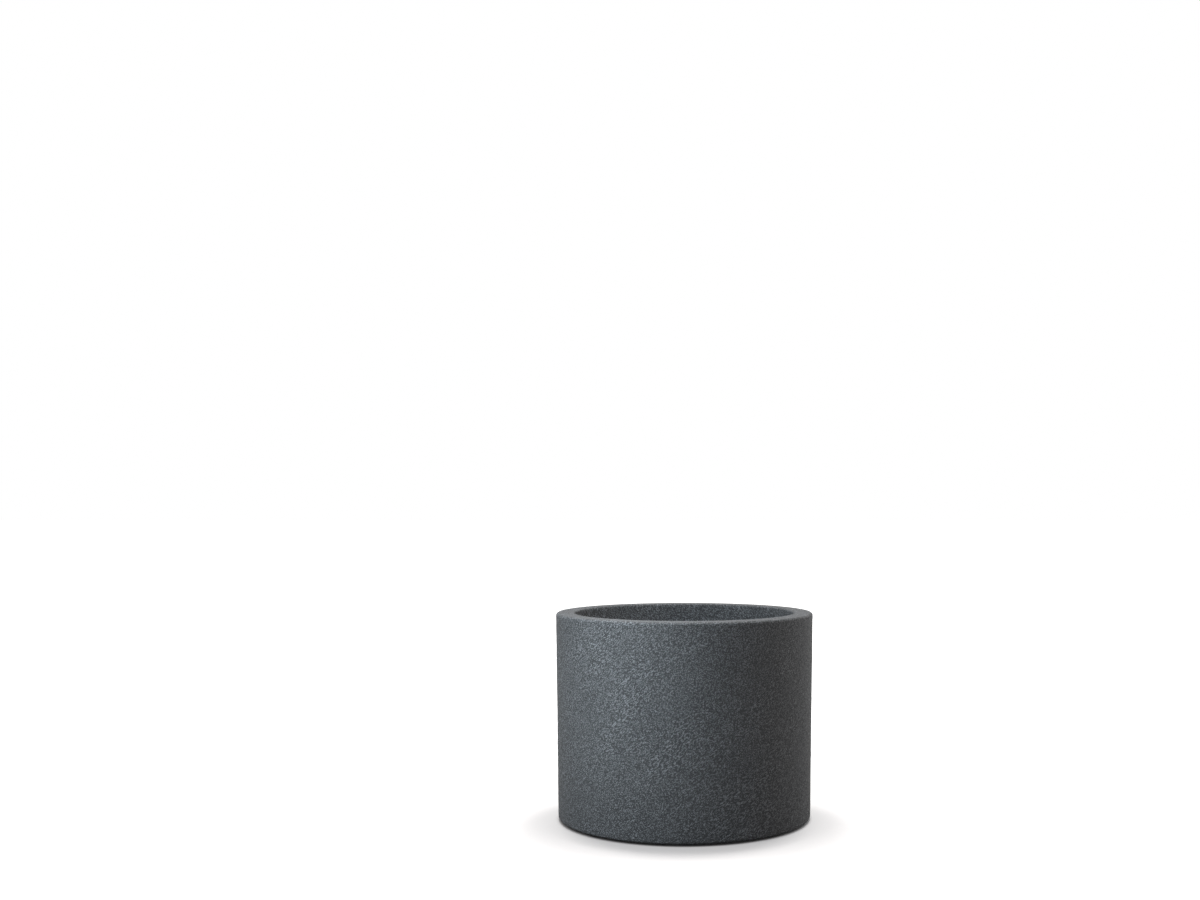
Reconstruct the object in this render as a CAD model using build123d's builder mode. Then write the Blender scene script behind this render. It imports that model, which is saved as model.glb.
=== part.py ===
from build123d import *
import os
from math import cos, radians, sin

# A round double-walled plastic planter, in millimetres. It stands on z = 0 with its axis on Z.
# The front is -Y.

# Overall size
RIM_DIAMETER = 300.0
BASE_DIAMETER = 294.0
TOTAL_HEIGHT = 240.0
RIM_WIDTH = 22.0
SKIN = 4.0

# Outer wall and rim
RIM_RADIUS = RIM_DIAMETER / 2
BASE_RADIUS = BASE_DIAMETER / 2
OPENING_RADIUS = RIM_RADIUS - RIM_WIDTH
RIM_OUTER_ROUNDING = 3.0
RIM_INNER_ROUNDING = 2.0
BASE_EDGE_ROUNDING = 3.0

# Foot pads, let into the standing ring
FOOT_COUNT = 4
FOOT_RADIUS = 11.0
FOOT_THICKNESS = 4.0
FOOT_RECESS = 2.0
FOOT_EDGE_CHAMFER = 0.6
STAND_HEIGHT = FOOT_THICKNESS - FOOT_RECESS
FOOT_BOSS_RADIUS = FOOT_RADIUS + SKIN

# Underside: a standing ring round a raised centre panel
STAND_RING_WIDTH = 34.0
PANEL_RISE = 8.0
PANEL_SLOPE_RUN = 6.0
RING_INNER_RADIUS = BASE_RADIUS - BASE_EDGE_ROUNDING - STAND_RING_WIDTH
PANEL_RADIUS = RING_INNER_RADIUS - PANEL_SLOPE_RUN
PANEL_HEIGHT = STAND_HEIGHT + PANEL_RISE
PANEL_CORNER_ROUNDING = 3.0
FOOT_CIRCLE_RADIUS = RING_INNER_RADIUS + STAND_RING_WIDTH / 2

# Inside: tapered inner wall and a floor that falls to the drain
INNER_TAPER = 6.0
FLOOR_RADIUS = OPENING_RADIUS - INNER_TAPER
FLOOR_EDGE_HEIGHT = 36.0
FLOOR_FALL = 3.0
FLOOR_CORNER_ROUNDING = 14.0
FLOOR_CENTRE_HEIGHT = FLOOR_EDGE_HEIGHT - FLOOR_FALL

# Drain bush and its gasket
PLUG_SHANK_RADIUS = 16.0
RUNNING_CLEARANCE = 0.05
BUSH_BORE_RADIUS = PLUG_SHANK_RADIUS + RUNNING_CLEARANCE
BUSH_TUBE_RADIUS = 19.0
BUSH_FLANGE_RADIUS = 25.7
BUSH_FLANGE_THICKNESS = 2.5
BUSH_MOUTH_CHAMFER = 1.0
BUSH_EDGE_ROUNDING = 0.6
BUSH_LIP_REACH = 1.0
BUSH_LIP_LENGTH = 3.0
BUSH_LIP_LEAD_IN = 0.4
GASKET_THICKNESS = 1.5
GASKET_RADIUS = 25.0
SEAT_RADIUS = 26.0
SEAT_HEIGHT = FLOOR_CENTRE_HEIGHT - BUSH_FLANGE_THICKNESS - GASKET_THICKNESS
BUSH_BOTTOM_HEIGHT = PANEL_HEIGHT - BUSH_LIP_LENGTH

# Drain plug and its O-ring
PLUG_SHANK_LENGTH = 20.0
PLUG_LEAD_IN = 1.5
PLUG_CORE_RADIUS = 10.5
PLUG_CORE_DEPTH = 18.0
PLUG_CORE_ROUNDING = 2.0
PLUG_FLANGE_RADIUS = 21.0
PLUG_FLANGE_THICKNESS = 3.0
PLUG_FLANGE_ROUNDING = 1.2
O_RING_SECTION_RADIUS = 1.5
O_RING_DEPTH = 11.0
O_RING_HEIGHT = FLOOR_CENTRE_HEIGHT - O_RING_DEPTH
GROOVE_WIDTH = 3.4
GROOVE_RADIUS = PLUG_SHANK_RADIUS - 2 * O_RING_SECTION_RADIUS
GRIP_WEB_LENGTH = 27.0
GRIP_WEB_THICKNESS = 4.0
GRIP_BAR_LENGTH = 34.0
GRIP_BAR_RADIUS = 4.5
GRIP_BAR_ROUNDING = 3.0
GRIP_BAR_RISE = 11.0
PLUG_TOP_HEIGHT = FLOOR_CENTRE_HEIGHT + PLUG_FLANGE_THICKNESS
SHANK_BOTTOM_HEIGHT = FLOOR_CENTRE_HEIGHT - PLUG_SHANK_LENGTH
GRIP_BAR_HEIGHT = PLUG_TOP_HEIGHT + GRIP_BAR_RISE

# Vent plug, in the centre panel towards the back
VENT_RADIUS = 4.0
VENT_PLACE = (0.0, 66.0)
VENT_HEAD_RADIUS = 8.0
VENT_HEAD_THICKNESS = 2.4
VENT_HEAD_ROUNDING = 1.2
VENT_BARB_REACH = 1.0
VENT_BARB_LENGTH = 4.0


def turning_plane(x, y):
    """Return an upright plane and the vertical axis through (x, y), for a turned profile."""
    plane = Plane(origin=(x, y, 0), x_dir=(1, 0, 0), z_dir=(0, -1, 0))
    return plane, Axis((x, y, 0), (0, 0, 1))


def draw_outline(corners):
    """Draw a closed outline from corners given as radius, height and rounding."""
    points = [(radius, height) for radius, height, rounding in corners]
    roundings = [rounding for radius, height, rounding in corners]
    FilletPolyline(*points, radius=roundings, close=True)


def place_on_circle(radius, number, count):
    """Return (x, y) of one of count places on a circle, with none straight in front."""
    angle = radians(360 * (number - 0.5) / count)
    return radius * cos(angle), radius * sin(angle)


os.makedirs("parts", exist_ok=True)
centre_plane, centre_axis = turning_plane(0, 0)
foot_places = [
    place_on_circle(FOOT_CIRCLE_RADIUS, number, FOOT_COUNT) for number in range(1, FOOT_COUNT + 1)
]

# Outline of the moulded body, as radius, height and rounding of each corner
body_corners = [
    (BASE_RADIUS, STAND_HEIGHT, BASE_EDGE_ROUNDING),
    (RIM_RADIUS, TOTAL_HEIGHT, RIM_OUTER_ROUNDING),
    (OPENING_RADIUS, TOTAL_HEIGHT, RIM_INNER_ROUNDING),
    (FLOOR_RADIUS, FLOOR_EDGE_HEIGHT, FLOOR_CORNER_ROUNDING),
    (SEAT_RADIUS, FLOOR_CENTRE_HEIGHT, 0),
    (SEAT_RADIUS, SEAT_HEIGHT, 0),
    (BUSH_TUBE_RADIUS, SEAT_HEIGHT, 0),
    (BUSH_TUBE_RADIUS, PANEL_HEIGHT, 0),
    (PANEL_RADIUS, PANEL_HEIGHT, PANEL_CORNER_ROUNDING),
    (RING_INNER_RADIUS, STAND_HEIGHT, PANEL_CORNER_ROUNDING),
]

# Moulded body: the outline turned round Z, hollow inside a skin of even thickness
with BuildPart() as planter_body:
    with BuildSketch(centre_plane) as body_section:
        with BuildLine():
            draw_outline(body_corners)
        make_face()
    revolve(axis=centre_axis)
    with BuildSketch(centre_plane):
        add(body_section.sketch_local)
        offset(amount=-SKIN, kind=Kind.INTERSECTION, mode=Mode.REPLACE)
    revolve(axis=centre_axis, mode=Mode.SUBTRACT)
    # A boss above each foot recess keeps the skin whole
    with BuildSketch(Plane.XY.offset(STAND_HEIGHT + SKIN / 2)):
        with Locations(*foot_places):
            Circle(FOOT_BOSS_RADIUS)
    extrude(amount=FOOT_RECESS + SKIN / 2)
    with BuildSketch(Plane.XY):
        with Locations(*foot_places):
            Circle(FOOT_RADIUS)
    extrude(amount=FOOT_THICKNESS, mode=Mode.SUBTRACT)
    with BuildSketch(Plane.XY.offset(PANEL_HEIGHT)):
        with Locations(VENT_PLACE):
            Circle(VENT_RADIUS)
    extrude(amount=SKIN, mode=Mode.SUBTRACT)
planter_body.part.label = "planter_body"
export_step(planter_body.part, "parts/planter_body.step")

# Drain bush: flange in the floor's seat, tube through the body, snap lip under the base panel
bush_corners = [
    (BUSH_BORE_RADIUS, BUSH_BOTTOM_HEIGHT, 0),
    (BUSH_TUBE_RADIUS - BUSH_LIP_LEAD_IN, BUSH_BOTTOM_HEIGHT, 0),
    (BUSH_TUBE_RADIUS + BUSH_LIP_REACH, PANEL_HEIGHT, 0),
    (BUSH_TUBE_RADIUS, PANEL_HEIGHT, 0),
    (BUSH_TUBE_RADIUS, SEAT_HEIGHT + GASKET_THICKNESS, 0),
    (BUSH_FLANGE_RADIUS, SEAT_HEIGHT + GASKET_THICKNESS, 0),
    (BUSH_FLANGE_RADIUS, FLOOR_CENTRE_HEIGHT, BUSH_EDGE_ROUNDING),
    (BUSH_BORE_RADIUS + BUSH_MOUTH_CHAMFER, FLOOR_CENTRE_HEIGHT, 0),
    (BUSH_BORE_RADIUS, FLOOR_CENTRE_HEIGHT - BUSH_MOUTH_CHAMFER, 0),
]
with BuildPart() as drain_bush:
    with BuildSketch(centre_plane):
        with BuildLine():
            draw_outline(bush_corners)
        make_face()
    revolve(axis=centre_axis)
drain_bush.part.label = "drain_bush"
export_step(drain_bush.part, "parts/drain_bush.step")

# Gasket: a flat ring between the bush's flange and the seat
with BuildPart() as bush_gasket:
    with BuildSketch(Plane.XY.offset(SEAT_HEIGHT)):
        Circle(GASKET_RADIUS)
        Circle(BUSH_TUBE_RADIUS, mode=Mode.SUBTRACT)
    extrude(amount=GASKET_THICKNESS)
bush_gasket.part.label = "bush_gasket"
export_step(bush_gasket.part, "parts/bush_gasket.step")

# Drain plug: a shank cored from below, a flange that rests on the bush, and a grip bar on a web
plug_corners = [
    (PLUG_CORE_RADIUS, SHANK_BOTTOM_HEIGHT, 0),
    (PLUG_SHANK_RADIUS - PLUG_LEAD_IN, SHANK_BOTTOM_HEIGHT, 0),
    (PLUG_SHANK_RADIUS, SHANK_BOTTOM_HEIGHT + PLUG_LEAD_IN, 0),
    (PLUG_SHANK_RADIUS, O_RING_HEIGHT - GROOVE_WIDTH / 2, 0),
    (GROOVE_RADIUS, O_RING_HEIGHT - GROOVE_WIDTH / 2, 0),
    (GROOVE_RADIUS, O_RING_HEIGHT + GROOVE_WIDTH / 2, 0),
    (PLUG_SHANK_RADIUS, O_RING_HEIGHT + GROOVE_WIDTH / 2, 0),
    (PLUG_SHANK_RADIUS, FLOOR_CENTRE_HEIGHT, 0),
    (PLUG_FLANGE_RADIUS, FLOOR_CENTRE_HEIGHT, 0),
    (PLUG_FLANGE_RADIUS, PLUG_TOP_HEIGHT, PLUG_FLANGE_ROUNDING),
    (0, PLUG_TOP_HEIGHT, 0),
    (0, SHANK_BOTTOM_HEIGHT + PLUG_CORE_DEPTH, 0),
    (PLUG_CORE_RADIUS, SHANK_BOTTOM_HEIGHT + PLUG_CORE_DEPTH, PLUG_CORE_ROUNDING),
]
with BuildPart() as drain_plug:
    with BuildSketch(Plane.YZ.offset(-GRIP_BAR_LENGTH / 2)):
        with Locations((0, GRIP_BAR_HEIGHT)):
            Circle(GRIP_BAR_RADIUS)
    extrude(amount=GRIP_BAR_LENGTH)
    fillet(drain_plug.edges().filter_by(GeomType.CIRCLE), radius=GRIP_BAR_ROUNDING)
    with BuildSketch(centre_plane):
        with BuildLine():
            draw_outline(plug_corners)
        make_face()
    revolve(axis=centre_axis)
    with BuildSketch(Plane.XY.offset(PLUG_TOP_HEIGHT)):
        SlotOverall(GRIP_WEB_LENGTH, GRIP_WEB_THICKNESS)
    extrude(amount=GRIP_BAR_HEIGHT - PLUG_TOP_HEIGHT)
drain_plug.part.label = "drain_plug"
export_step(drain_plug.part, "parts/drain_plug.step")

# O-ring, drawn at the size it has inside the bush
with BuildPart() as plug_o_ring:
    with Locations((0, 0, O_RING_HEIGHT)):
        Torus(PLUG_SHANK_RADIUS - O_RING_SECTION_RADIUS, O_RING_SECTION_RADIUS)
plug_o_ring.part.label = "plug_o_ring"
export_step(plug_o_ring.part, "parts/plug_o_ring.step")

# Vent plug: a domed head under the panel, a stem through it and a barb inside the hollow
vent_corners = [
    (0, PANEL_HEIGHT - VENT_HEAD_THICKNESS, 0),
    (VENT_HEAD_RADIUS, PANEL_HEIGHT - VENT_HEAD_THICKNESS, VENT_HEAD_ROUNDING),
    (VENT_HEAD_RADIUS, PANEL_HEIGHT, 0),
    (VENT_RADIUS, PANEL_HEIGHT, 0),
    (VENT_RADIUS, PANEL_HEIGHT + SKIN, 0),
    (VENT_RADIUS + VENT_BARB_REACH, PANEL_HEIGHT + SKIN, 0),
    (VENT_RADIUS - VENT_BARB_REACH, PANEL_HEIGHT + SKIN + VENT_BARB_LENGTH, 0),
    (0, PANEL_HEIGHT + SKIN + VENT_BARB_LENGTH, 0),
]
vent_plane, vent_axis = turning_plane(*VENT_PLACE)
with BuildPart() as vent_plug:
    with BuildSketch(vent_plane):
        with BuildLine():
            draw_outline(vent_corners)
        make_face()
    revolve(axis=vent_axis)
vent_plug.part.label = "vent_plug"
export_step(vent_plug.part, "parts/vent_plug.step")

# Foot pads, each in its recess in the standing ring
for number, foot_place in enumerate(foot_places, start=1):
    with BuildPart() as foot_pad:
        with BuildSketch(Plane.XY):
            with Locations(foot_place):
                Circle(FOOT_RADIUS)
        extrude(amount=FOOT_THICKNESS)
        chamfer(foot_pad.edges().group_by(Axis.Z)[0], length=FOOT_EDGE_CHAMFER)
    foot_pad.part.label = f"foot_pad_{number}"
    export_step(foot_pad.part, f"parts/foot_pad_{number}.step")
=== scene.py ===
import math

import bpy
import numpy as np
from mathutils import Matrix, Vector


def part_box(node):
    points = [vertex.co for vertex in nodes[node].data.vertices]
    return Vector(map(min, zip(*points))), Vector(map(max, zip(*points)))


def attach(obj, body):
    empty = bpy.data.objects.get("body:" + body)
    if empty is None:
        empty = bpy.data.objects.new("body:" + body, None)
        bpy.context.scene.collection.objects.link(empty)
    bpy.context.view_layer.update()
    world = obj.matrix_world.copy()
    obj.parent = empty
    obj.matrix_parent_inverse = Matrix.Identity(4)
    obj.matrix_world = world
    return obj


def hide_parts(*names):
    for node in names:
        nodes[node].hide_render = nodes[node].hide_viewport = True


# A round double-walled plastic planter with a fine stone texture, on a white studio floor.
# All sizes are in metres, in the frame of the solids. The front is -Y.

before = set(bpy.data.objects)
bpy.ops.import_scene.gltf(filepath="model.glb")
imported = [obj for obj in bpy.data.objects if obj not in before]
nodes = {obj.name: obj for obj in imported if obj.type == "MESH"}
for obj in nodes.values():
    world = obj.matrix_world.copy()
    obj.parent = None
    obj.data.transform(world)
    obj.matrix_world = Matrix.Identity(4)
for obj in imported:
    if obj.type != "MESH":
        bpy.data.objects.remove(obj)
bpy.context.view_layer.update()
body_low, body_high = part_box("planter_body")
bush_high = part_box("drain_bush")[1]
gasket_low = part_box("bush_gasket")[0]

# Outline of the moulded body
RIM_RADIUS = 0.150
BASE_RADIUS = 0.147
RIM_WIDTH = 0.022
INNER_TAPER = 0.006
SEAT_CLEARANCE = 0.0003
OPENING_RADIUS = RIM_RADIUS - RIM_WIDTH
FLOOR_RADIUS = OPENING_RADIUS - INNER_TAPER
FLOOR_EDGE_HEIGHT = 0.036
SEAT_RADIUS = bush_high.x + SEAT_CLEARANCE
FLOOR_CENTRE_HEIGHT = bush_high.z
SEAT_HEIGHT = gasket_low.z
TUBE_RADIUS = 0.019
PANEL_HEIGHT = 0.010
PANEL_RADIUS = 0.104
RING_INNER_RADIUS = 0.110
RIM_OUTER_ROUNDING = 0.003
RIM_INNER_ROUNDING = 0.002
BASE_EDGE_ROUNDING = 0.003
FLOOR_CORNER_ROUNDING = 0.014
PANEL_CORNER_ROUNDING = 0.003

# Mesh of the moulded body: the longest step between rows, and the turn of the first column in segments
SEGMENTS = 576
WALL_STEP = 0.0017
ARC_STEP = 0.0008
FLOOR_STEP = 0.004
HIDDEN_STEP = 0.006
COLUMN_OFFSET = 0.25

# The seam of the finish map runs up the back
SEAM_ANGLE = math.pi / 2

# Islands of the finish map. A strip has its left, low, width and height, a disc its centre and radius
WALL_ISLAND = 0
FLOOR_ISLAND = 1
TUBE_ISLAND = 2
UNDERSIDE_ISLAND = 3
STRIP_PLACES = {WALL_ISLAND: (0.01, 0.375, 0.98, 0.615), TUBE_ISLAND: (0.64, 0.02, 0.34, 0.05)}
DISC_PLACES = {FLOOR_ISLAND: (0.485, 0.125, 0.12), UNDERSIDE_ISLAND: (0.17, 0.185, 0.16)}

# Share of the full relief on each part of the body
OUTER_WALL_RELIEF = 1.0
RIM_RELIEF = 0.2
INNER_WALL_RELIEF = 0.9
FLOOR_RELIEF = 0.5

# Relief of the wall: broad swells, lumps, and strokes that climb to the right, the last two in patches
SEED = 41
SWELL_LENGTH = 0.055
SWELL_DEPTH = 0.00005
LUMP_LENGTH = 0.0085
LUMP_DEPTH = 0.00005
STROKE_LENGTH = 0.010
STROKE_DEPTH = 0.000045
STROKE_SLANT = 45
STROKE_STRETCH = 2.2
TWIST = math.tan(math.radians(STROKE_SLANT)) / RIM_RADIUS
PATCH_LENGTH = 0.045
PATCH_MEAN = 0.75
PATCH_SPREAD = 0.45
PATCH_LIMIT = 1.5
MOST_OUTWARD = 0.0002
BROAD_WAVES = 24
FINE_WAVES = 64
WAVE_LENGTHS = (0.7, 1.4)

# Grain of the stone-textured plastic, finer than the mesh
GRAIN_LUMP_SIZE = 0.0014
GRAIN_NOISE_SIZE = 0.0010
GRAIN_STROKE_SIZE = 0.0014
GRAIN_STROKE_STRETCH = 1.5
GRAIN_PATCH_SIZE = 0.05
GRAIN_DEPTH = 0.0008
CLOUD_SIZE = 0.06
# The dark colour goes to the low places of the grain's relief and the light one to the high places: part
# speck colour, part painted shade in the pits and painted light on the peaks
STONE_DARK_AND_PIT_SHADE = ((0.027, 0.029, 0.031), (0.031, 0.033, 0.035))
STONE_LIGHT_AND_PEAK_LIGHT = ((0.129, 0.138, 0.147), (0.139, 0.148, 0.157))
STONE_ROUGHNESS = (0.82, 0.74)
STONE_SPECULAR = 0.25

# Smooth moulded pieces: clouds of colour, and handling marks that change the roughness
MOULDED_CLOUD_SIZE = 0.012
MARK_SIZE = 0.006
MARK_POLISH = 0.06
MARK_DULLING = 0.08

# Material, pieces, dark and light colour, roughness, grain size and grain depth of the carried-over solids
MOULDED_FINISHES = [
    ("bush_plastic", ["drain_bush"], (0.030, 0.031, 0.033), (0.040, 0.041, 0.043), 0.42, 0.0007, 0.00004),
    ("plug_plastic", ["drain_plug"], (0.048, 0.050, 0.053), (0.062, 0.064, 0.067), 0.40, 0.0007, 0.00004),
    ("vent_plastic", ["vent_plug"], (0.030, 0.031, 0.033), (0.040, 0.041, 0.043), 0.42, 0.0007, 0.00004),
    (
        "seal_rubber",
        ["bush_gasket", "plug_o_ring"],
        (0.017, 0.017, 0.017),
        (0.024, 0.024, 0.024),
        0.50,
        0.0005,
        0.00003,
    ),
    (
        "foot_rubber",
        [f"foot_pad_{number}" for number in range(1, 5)],
        (0.024, 0.024, 0.024),
        (0.033, 0.033, 0.033),
        0.72,
        0.0009,
        0.00008,
    ),
]

# Studio floor and the light all round
STUDIO_SIZE = 60
FLOOR_PLAIN = (0.103, 0.10, 0.096)
FLOOR_PALE = (0.485, 0.495, 0.505)
GLOW_STARTS = 0.25
GLOW_FULL = 0.6
GLOW_NEAR = 0.39
# Reach and samples of the painted contact shadow under the base
CONTACT_REACH = 0.006
CONTACT_SAMPLES = 8
WORLD_COLOUR = (1.04, 0.98, 1.0)
WORLD_STRENGTH = 0.34

# Lights: azimuth 0 is in front and 90 on the right
TOP_AZIMUTH = 145
SPOT_SOFTNESS = 0.05
SPOT_TARGET = Vector((-0.096, -0.114, 0.15))

# Camera, from the photograph's viewpoint
CAMERA_DISTANCE = 1.6262
CAMERA_HEIGHT = 0.3655
LENS = 41.572
SENSOR_WIDTH = 36
SHIFT_LEFT = 0.0703
SHIFT_UP = 0.0456
NEAREST_SEEN = 0.05
FURTHEST_SEEN = 200


def corner_arc(before, corner, after, rounding):
    """Return the points of the rounding at a corner, or the corner alone."""
    if not rounding:
        return [corner]
    towards = (before - corner).normalized()
    away = (after - corner).normalized()
    angle = towards.angle(away)
    cut = rounding / math.tan(angle / 2)
    centre = corner + (towards + away).normalized() * rounding / math.sin(angle / 2)
    start = corner + towards * cut - centre
    end = corner + away * cut - centre
    sweep = math.pi - angle
    count = max(2, math.ceil(rounding * sweep / ARC_STEP))
    points = []
    for step in range(count + 1):
        share = step / count
        first = math.sin((1 - share) * sweep) / math.sin(sweep)
        second = math.sin(share * sweep) / math.sin(sweep)
        points.append(centre + start * first + end * second)
    return points


def body_corners():
    """Return the corners of the body's outline."""
    # Each has its radius, height and rounding, then the step, relief and island of the run after it
    return [
        (BASE_RADIUS, body_low.z, BASE_EDGE_ROUNDING, WALL_STEP, OUTER_WALL_RELIEF, WALL_ISLAND),
        (RIM_RADIUS, body_high.z, RIM_OUTER_ROUNDING, WALL_STEP, RIM_RELIEF, WALL_ISLAND),
        (OPENING_RADIUS, body_high.z, RIM_INNER_ROUNDING, WALL_STEP, INNER_WALL_RELIEF, WALL_ISLAND),
        (FLOOR_RADIUS, FLOOR_EDGE_HEIGHT, FLOOR_CORNER_ROUNDING, FLOOR_STEP, FLOOR_RELIEF, FLOOR_ISLAND),
        (SEAT_RADIUS, FLOOR_CENTRE_HEIGHT, 0, HIDDEN_STEP, 0.0, TUBE_ISLAND),
        (SEAT_RADIUS, SEAT_HEIGHT, 0, HIDDEN_STEP, 0.0, TUBE_ISLAND),
        (TUBE_RADIUS, SEAT_HEIGHT, 0, HIDDEN_STEP, 0.0, TUBE_ISLAND),
        (TUBE_RADIUS, PANEL_HEIGHT, 0, HIDDEN_STEP, 0.0, UNDERSIDE_ISLAND),
        (PANEL_RADIUS, PANEL_HEIGHT, PANEL_CORNER_ROUNDING, HIDDEN_STEP, 0.0, UNDERSIDE_ISLAND),
        (RING_INNER_RADIUS, body_low.z, PANEL_CORNER_ROUNDING, HIDDEN_STEP, 0.0, UNDERSIDE_ISLAND),
    ]


def body_outline():
    """Return the body's closed outline as rows of radius, height, share of relief and island."""
    corners = body_corners()
    places = [Vector((radius, height)) for radius, height, *rest in corners]
    arcs = []
    for number, corner in enumerate(corners):
        after = places[(number + 1) % len(places)]
        arcs.append(corner_arc(places[number - 1], places[number], after, corner[2]))
    rows = []
    for number, corner in enumerate(corners):
        step, weight, island = corner[3:]
        weight_before, island_before = corners[number - 1][4:]
        # The rounding of the base edge, the first corner, belongs to the wall's strip
        arc_island = WALL_ISLAND if number == 0 else island_before
        arc = arcs[number]
        for place, point in enumerate(arc[:-1]):
            share = place / (len(arc) - 1)
            rows.append((*point, weight_before + (weight - weight_before) * share, arc_island))
        start, end = arc[-1], arcs[(number + 1) % len(arcs)][0]
        count = max(1, math.ceil((end - start).length / step))
        for place in range(count):
            rows.append((*start.lerp(end, place / count), weight, island))
    return rows


def wave_field(points, length, count, rng):
    """Return smooth seeded noise of unit spread, with bumps about length / 2 across."""
    directions = rng.normal(size=(count, 3))
    directions /= np.linalg.norm(directions, axis=1)[:, None]
    numbers = 2 * np.pi / (length * rng.uniform(*WAVE_LENGTHS, count))
    phases = rng.uniform(0, 2 * np.pi, count)
    total = np.zeros(len(points))
    for direction, number, phase in zip(directions, numbers, phases):
        total += np.cos(points @ (direction * number) + phase)
    return total * math.sqrt(2 / count)


def untwisted(points):
    """Turn each level back, so that strokes that climb to the right stand upright, and shorten them."""
    angle = -points[:, 2] * TWIST
    cosine, sine = np.cos(angle), np.sin(angle)
    x = points[:, 0] * cosine - points[:, 1] * sine
    y = points[:, 0] * sine + points[:, 1] * cosine
    return np.stack([x, y, points[:, 2] / STROKE_STRETCH], axis=1)


def body_relief(rows, angles):
    """Return how far each point of the body stands out from the plain outline."""
    rng = np.random.default_rng(SEED)
    radii, heights, weights = rows[:, 0], rows[:, 1], rows[:, 2]
    across = np.outer(radii, np.cos(angles)).ravel()
    deep = np.outer(radii, np.sin(angles)).ravel()
    points = np.stack([across, deep, np.repeat(heights, len(angles))], axis=1)
    upright = untwisted(points)
    patches = wave_field(upright, PATCH_LENGTH, BROAD_WAVES, rng)
    patches = PATCH_MEAN + PATCH_SPREAD * np.clip(patches, -PATCH_LIMIT, PATCH_LIMIT)
    relief = SWELL_DEPTH * wave_field(points, SWELL_LENGTH, BROAD_WAVES, rng)
    relief += LUMP_DEPTH * patches * wave_field(points, LUMP_LENGTH, FINE_WAVES, rng)
    relief += STROKE_DEPTH * patches * wave_field(upright, STROKE_LENGTH, FINE_WAVES, rng)
    relief = relief.reshape(len(rows), len(angles))
    return np.minimum(relief, MOST_OUTWARD) * weights[:, None]


def outline_normals(rows):
    """Return the outward direction of each row of the outline, as radius and height."""
    ahead = np.roll(rows[:, :2], -1, axis=0) - rows[:, :2]
    behind = rows[:, :2] - np.roll(rows[:, :2], 1, axis=0)
    ahead /= np.linalg.norm(ahead, axis=1)[:, None]
    behind /= np.linalg.norm(behind, axis=1)[:, None]
    along = ahead + behind
    along /= np.linalg.norm(along, axis=1)[:, None]
    return np.stack([along[:, 1], -along[:, 0]], axis=1)


def body_map(rows):
    """Return each corner's place on the square of the finish map, face by face."""
    count = len(rows)
    lengths = np.linalg.norm(np.roll(rows[:, :2], -1, axis=0) - rows[:, :2], axis=1)
    path = np.concatenate([[0], np.cumsum(lengths)])
    island = rows[:, 3].astype(int)
    corner_row = np.array([0, 0, 1, 1])
    corner_segment = np.array([0, 1, 1, 0])
    row_numbers = np.arange(count)[:, None, None] + corner_row[None, None, :]
    columns = np.arange(SEGMENTS)[None, :, None] + corner_segment[None, None, :]
    row_numbers = np.broadcast_to(row_numbers, (count, SEGMENTS, 4))
    turn = np.broadcast_to(columns / SEGMENTS, (count, SEGMENTS, 4))
    radii = rows[row_numbers % count, 0]
    cosine, sine = np.cos(turn * 2 * np.pi), np.sin(turn * 2 * np.pi)
    across, up = np.zeros_like(turn), np.zeros_like(turn)
    for number, (left, low, width, height) in STRIP_PLACES.items():
        faces = island == number
        start = path[np.flatnonzero(faces)[0]]
        end = path[np.flatnonzero(faces)[-1] + 1]
        across[faces] = left + width * turn[faces]
        up[faces] = low + height * (path[row_numbers[faces]] - start) / (end - start)
    for number, (middle_across, middle_up, radius) in DISC_PLACES.items():
        faces = island == number
        widest = rows[faces, 0].max()
        across[faces] = middle_across + radius * radii[faces] * cosine[faces] / widest
        up[faces] = middle_up + radius * radii[faces] * sine[faces] / widest
    return np.stack([across, up], axis=-1).reshape(-1)


def make_body():
    """Make the moulded body as one closed turned mesh with its relief."""
    rows = np.array(body_outline())
    angles = 2 * np.pi * (np.arange(SEGMENTS) + COLUMN_OFFSET) / SEGMENTS + SEAM_ANGLE
    relief = body_relief(rows, angles)
    normals = outline_normals(rows)
    radii = rows[:, :1] + relief * normals[:, :1]
    heights = rows[:, 1:2] + relief * normals[:, 1:]
    places = np.stack([radii * np.cos(angles), radii * np.sin(angles), heights], axis=-1)
    row, segment = np.meshgrid(np.arange(len(rows)), np.arange(SEGMENTS), indexing="ij")
    next_row, next_segment = (row + 1) % len(rows), (segment + 1) % SEGMENTS
    corners = [
        row * SEGMENTS + segment,
        row * SEGMENTS + next_segment,
        next_row * SEGMENTS + next_segment,
        next_row * SEGMENTS + segment,
    ]
    faces = np.stack(corners, axis=-1).reshape(-1, 4)
    mesh = bpy.data.meshes.new("moulded_body")
    mesh.from_pydata(places.reshape(-1, 3), [], faces)
    mesh.uv_layers.new(name="OFBake").data.foreach_set("uv", body_map(rows).astype(np.float32))
    mesh.shade_smooth()
    mesh.update()
    body = bpy.data.objects.new("moulded_body", mesh)
    bpy.context.scene.collection.objects.link(body)
    return body


def new_material(name):
    """Return a new material, its node tree and its shader."""
    material = bpy.data.materials.new(name)
    material.use_nodes = True
    tree = material.node_tree
    return material, tree, tree.nodes["Principled BSDF"]


def add_node(tree, kind, values=None, **settings):
    """Add a node, set it up, and give its inputs values or links from other nodes' outputs."""
    node = tree.nodes.new("ShaderNode" + kind)
    for name, value in settings.items():
        setattr(node, name, value)
    for name, value in (values or {}).items():
        if isinstance(value, bpy.types.NodeSocket):
            tree.links.new(value, node.inputs[name])
        else:
            node.inputs[name].default_value = value
    return node


def object_place(tree):
    """Return the output with the place on the object, in metres."""
    return add_node(tree, "TexCoord").outputs["Object"]


def noise(tree, place, size, detail, roughness=0.5):
    """Return the output of a noise whose lumps are about size across."""
    values = {"Vector": place, "Scale": 1 / size, "Detail": detail, "Roughness": roughness}
    return add_node(tree, "TexNoise", values).outputs["Fac"]


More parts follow.
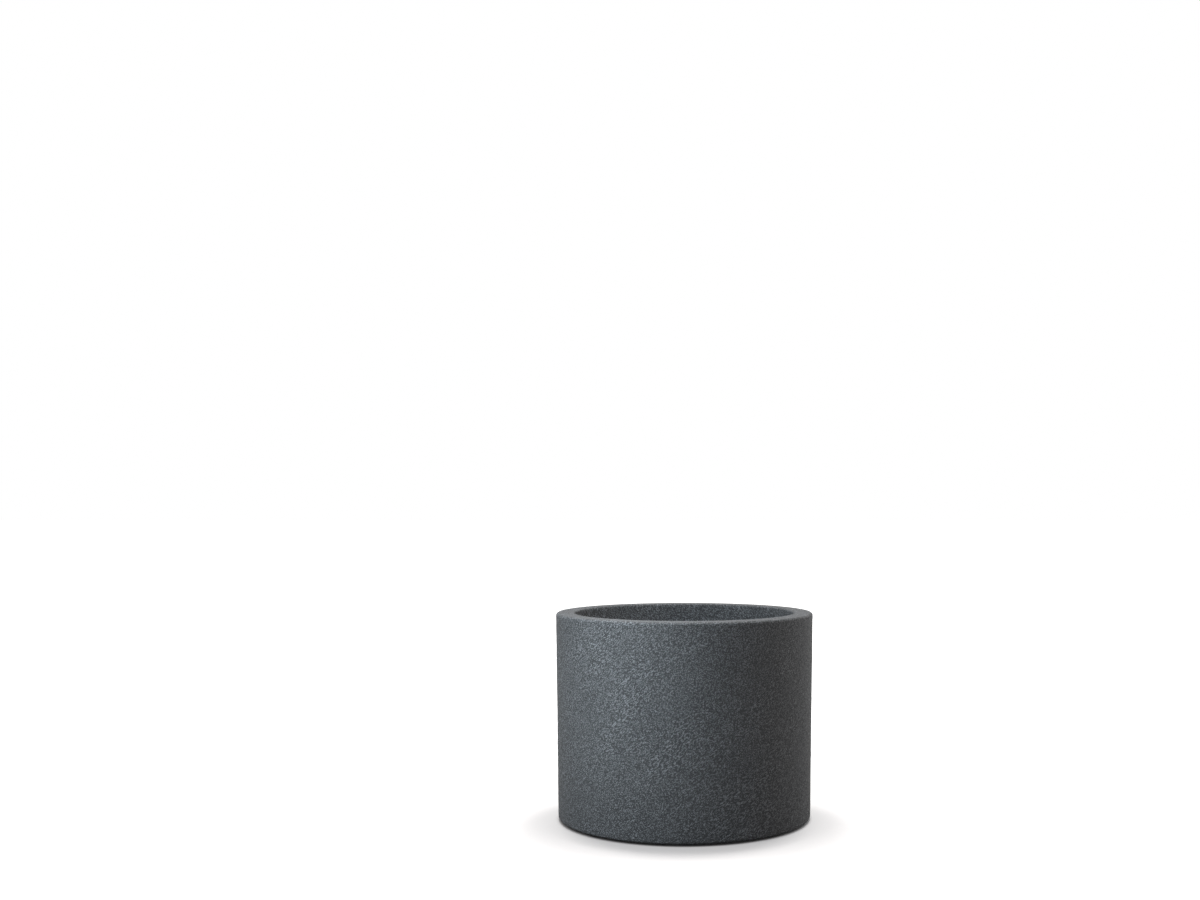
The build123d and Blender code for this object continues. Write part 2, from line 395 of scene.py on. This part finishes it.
def spread(tree, value, low, high, to_low, to_high):
    """Return the value's range low to high drawn out to another range, held at its ends."""
    values = {"Value": value, "From Min": low, "From Max": high, "To Min": to_low, "To Max": to_high}
    return add_node(tree, "MapRange", values).outputs["Result"]


def lumps(tree, place, size):
    """Return the output of a pattern of close-packed lumps, each size across, high in its middle."""
    cells = add_node(tree, "TexVoronoi", {"Vector": place, "Scale": 1 / size}, feature="F1")
    return spread(tree, cells.outputs["Distance"], 0.0, 0.8, 1.0, 0.0)


def combine(tree, operation, first, second):
    """Return one sum, product or the like of two values."""
    return add_node(tree, "Math", {0: first, 1: second}, operation=operation).outputs[0]


def blend_colours(tree, share, first, second):
    """Return a colour between two."""
    node = add_node(tree, "Mix", data_type="RGBA")
    tree.links.new(share, node.inputs["Factor"])
    for socket, colour in ((node.inputs[6], first), (node.inputs[7], second)):
        if isinstance(colour, bpy.types.NodeSocket):
            tree.links.new(colour, socket)
        else:
            socket.default_value = (*colour, 1)
    return node.outputs[2]


def bump(tree, height, distance):
    """Return the normal that a height map gives, distance being its full depth in metres."""
    return add_node(tree, "Bump", {"Height": height, "Distance": distance, "Strength": 1.0}).outputs["Normal"]


def slanted_place(tree, place):
    """Return the place turned back level by level and shortened, for patterns that climb to the right."""
    height = add_node(tree, "SeparateXYZ", {"Vector": place}).outputs["Z"]
    angle = combine(tree, "MULTIPLY", height, -TWIST)
    turned = add_node(tree, "VectorRotate", {"Vector": place, "Angle": angle}, rotation_type="Z_AXIS")
    squeeze = (1, 1, 1 / GRAIN_STROKE_STRETCH)
    node = add_node(tree, "VectorMath", {0: turned.outputs[0], 1: squeeze}, operation="MULTIPLY")
    return node.outputs[0]


def stone_material():
    """Matt anthracite polyethylene, moulded against a finely pecked stone texture, its grain coloured darker
    in the pits and lighter on the peaks, partly as painted shade.
    """
    material, tree, shader = new_material("stone_textured_plastic")
    place = object_place(tree)
    slanted = slanted_place(tree, place)
    close_lumps = lumps(tree, place, GRAIN_LUMP_SIZE)
    grain = combine(tree, "ADD", close_lumps, noise(tree, place, GRAIN_NOISE_SIZE, 0.0))
    grain = spread(tree, grain, 0.0, 2.0, 0.0, 1.0)
    strokes = noise(tree, slanted, GRAIN_STROKE_SIZE, 0.0)
    strokes = combine(tree, "SUBTRACT", strokes, 0.5)
    patches = spread(tree, noise(tree, slanted, GRAIN_PATCH_SIZE, 1.0), 0.4, 0.65, 0.3, 1.2)
    relief = combine(tree, "ADD", grain, combine(tree, "MULTIPLY", strokes, patches))
    tree.links.new(bump(tree, relief, GRAIN_DEPTH), shader.inputs["Normal"])
    # Colour follows the relief, darker in the pits and lighter on the peaks: part speckle of the plastic,
    # part painted shade of the grain
    speckle_and_painted_shade = spread(tree, relief, 0.38, 0.72, 0.0, 1.0)
    clouds = spread(tree, noise(tree, place, CLOUD_SIZE, 2.0), 0.3, 0.7, 0.0, 1.0)
    dark = blend_colours(tree, clouds, *STONE_DARK_AND_PIT_SHADE)
    light = blend_colours(tree, clouds, *STONE_LIGHT_AND_PEAK_LIGHT)
    tree.links.new(blend_colours(tree, speckle_and_painted_shade, dark, light), shader.inputs["Base Color"])
    tree.links.new(spread(tree, grain, 0.3, 0.7, *STONE_ROUGHNESS), shader.inputs["Roughness"])
    shader.inputs["Specular IOR Level"].default_value = STONE_SPECULAR
    return material


def moulded_material(name, dark, light, roughness, grain_size, grain_depth):
    """Smooth moulded plastic or rubber: faint clouds of colour, fine mould grain, light handling marks."""
    material, tree, shader = new_material(name)
    place = object_place(tree)
    grain = noise(tree, place, grain_size, 2.0, 0.6)
    tree.links.new(bump(tree, grain, grain_depth), shader.inputs["Normal"])
    clouds = spread(tree, noise(tree, place, MOULDED_CLOUD_SIZE, 2.0), 0.35, 0.65, 0.0, 1.0)
    tree.links.new(blend_colours(tree, clouds, dark, light), shader.inputs["Base Color"])
    marks = noise(tree, place, MARK_SIZE, 3.0, 0.6)
    marks = spread(tree, marks, 0.3, 0.7, roughness - MARK_POLISH, roughness + MARK_DULLING)
    tree.links.new(marks, shader.inputs["Roughness"])
    return material


def dress(names, material):
    """Give carried-over solids a finish."""
    for name in names:
        slots = nodes[name].data.materials
        slots.clear()
        slots.append(material)


def white_for_camera(tree, plain, white):
    """Return a shader that is white to the camera and in reflections, and plain to all other light."""
    path = add_node(tree, "LightPath")
    seen = combine(tree, "MAXIMUM", path.outputs["Is Camera Ray"], path.outputs["Is Glossy Ray"])
    seen = combine(tree, "MAXIMUM", seen, path.outputs["Is Transmission Ray"])
    mix = add_node(tree, "MixShader", {0: seen})
    tree.links.new(plain, mix.inputs[1])
    tree.links.new(white, mix.inputs[2])
    return mix.outputs[0]


def floor_material():
    """Pale floor whose own glow grows away from the planter and stops where the base nearly touches it, a
    painted contact shadow under the base.
    """
    material = bpy.data.materials.new("pale_floor")
    material.use_nodes = True
    tree = material.node_tree
    tree.nodes.clear()
    plain = add_node(tree, "BsdfDiffuse", {"Color": (*FLOOR_PLAIN, 1)}).outputs[0]
    pale = add_node(tree, "BsdfDiffuse", {"Color": (*FLOOR_PALE, 1)}).outputs[0]
    away = add_node(tree, "VectorMath", {0: object_place(tree)}, operation="LENGTH").outputs["Value"]
    glow = spread(tree, away, GLOW_STARTS, GLOW_FULL, GLOW_NEAR, 1.0)
    # Ambient occlusion dims the floor's own glow: a painted contact shadow, black in the gap under the base
    contact_shadow = add_node(tree, "AmbientOcclusion", {"Distance": CONTACT_REACH}, samples=CONTACT_SAMPLES)
    open_sky = spread(tree, contact_shadow.outputs["AO"], 0.2, 0.8, 0.0, 1.0)
    glow = combine(tree, "MULTIPLY", glow, open_sky)
    lit = add_node(tree, "Emission", {"Strength": glow}).outputs[0]
    white = add_node(tree, "AddShader", {0: pale, 1: lit}).outputs[0]
    output = add_node(tree, "OutputMaterial")
    tree.links.new(white_for_camera(tree, plain, white), output.inputs["Surface"])
    return material


def make_floor():
    """Lay a wide pale floor that shows white except in the soft shadow round the base."""
    bpy.ops.mesh.primitive_plane_add(size=STUDIO_SIZE)
    floor = bpy.context.object
    floor.name = "studio_floor"
    floor.data.materials.append(floor_material())
    return floor


def make_world():
    """Surround the scene with white for the camera and a plain, nearly white light for the rest."""
    world = bpy.data.worlds.new("studio_world")
    bpy.context.scene.world = world
    world.use_nodes = True
    tree = world.node_tree
    tree.nodes.clear()
    plain = add_node(tree, "Background", {"Color": (*WORLD_COLOUR, 1), "Strength": WORLD_STRENGTH}).outputs[0]
    white = add_node(tree, "Background", {"Color": (1, 1, 1, 1), "Strength": 1.0}).outputs[0]
    output = add_node(tree, "OutputWorld")
    tree.links.new(white_for_camera(tree, plain, white), output.inputs["Surface"])


def hang_light(name, data, azimuth, reach, height, target):
    """Hang a light, reach away from the planter's axis, that faces the target."""
    turn = math.radians(azimuth)
    light = bpy.data.objects.new(name, data)
    bpy.context.scene.collection.objects.link(light)
    light.location = (reach * math.sin(turn), -reach * math.cos(turn), height)
    light.rotation_mode = "QUATERNION"
    light.rotation_quaternion = (target - light.location).to_track_quat("-Z", "Y")
    return light


def add_softbox(name, azimuth, reach, height, width, length, power, colour):
    """Hang a soft light that faces the planter's middle."""
    data = bpy.data.lights.new(name, "AREA")
    data.shape = "RECTANGLE"
    data.size = width
    data.size_y = length
    data.energy = power
    data.color = colour
    return hang_light(name, data, azimuth, reach, height, Vector((0, 0, body_high.z / 2)))


def add_spot(name, azimuth, reach, height, target, spread_angle, power, colour):
    """Hang a soft-edged spot light that faces one place on the planter."""
    data = bpy.data.lights.new(name, "SPOT")
    data.spot_size = math.radians(spread_angle)
    data.spot_blend = 1.0
    data.shadow_soft_size = SPOT_SOFTNESS
    data.energy = power
    data.color = colour
    return hang_light(name, data, azimuth, reach, height, target)


def keep_off_floor(light, floor):
    """Let a light pass over the floor, so that only the light from above draws the shadow there."""
    passed_over = bpy.data.collections.new(light.name + "_passes_over")
    passed_over.objects.link(floor)
    passed_over.collection_objects[0].light_linking.link_state = "EXCLUDE"
    light.light_linking.receiver_collection = passed_over


def light_from_sides(floor):
    """Light the wall from the left front, most of all at one place, and weakly from the right."""
    key = add_softbox(
        "key_light",
        azimuth=-35,
        reach=0.45,
        height=0.45,
        width=0.15,
        length=0.70,
        power=4.55,
        colour=(0.91, 1.0, 1.06),
    )
    spot = add_spot(
        "left_spot",
        azimuth=-30,
        reach=1.30,
        height=0.90,
        target=SPOT_TARGET,
        spread_angle=12,
        power=42,
        colour=(0.91, 1.0, 1.04),
    )
    fill = add_softbox(
        "right_fill",
        azimuth=90,
        reach=0.80,
        height=0.50,
        width=0.30,
        length=0.30,
        power=2.4,
        colour=(1.06, 1.0, 0.93),
    )
    for light in (key, spot, fill):
        keep_off_floor(light, floor)


def light_from_above():
    """Light the rim, and draw the shadow in front, from two soft lights high up and a little behind."""
    for side, azimuth in (("left", -TOP_AZIMUTH), ("right", TOP_AZIMUTH)):
        add_softbox(
            f"top_light_{side}",
            azimuth=azimuth,
            reach=0.65,
            height=4.0,
            width=0.5,
            length=0.95,
            power=98,
            colour=(1.05, 1.0, 0.96),
        )


def make_camera():
    """Set up the level camera of the photograph."""
    data = bpy.data.cameras.new("camera")
    data.lens = LENS
    data.sensor_width = SENSOR_WIDTH
    data.shift_x = -SHIFT_LEFT
    data.shift_y = SHIFT_UP
    data.clip_start = NEAREST_SEEN
    data.clip_end = FURTHEST_SEEN
    camera = bpy.data.objects.new("camera", data)
    bpy.context.scene.collection.objects.link(camera)
    camera.location = (0, -CAMERA_DISTANCE, CAMERA_HEIGHT)
    camera.rotation_euler = (math.pi / 2, 0, 0)
    bpy.context.scene.camera = camera


make_camera()
make_world()
light_from_sides(make_floor())
light_from_above()

body = make_body()
body.data.materials.append(stone_material())
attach(body, "planter")
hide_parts("planter_body")

for name, pieces, *finish in MOULDED_FINISHES:
    dress(pieces, moulded_material(name, *finish))

bpy.context.scene.view_settings.view_transform = "Standard"
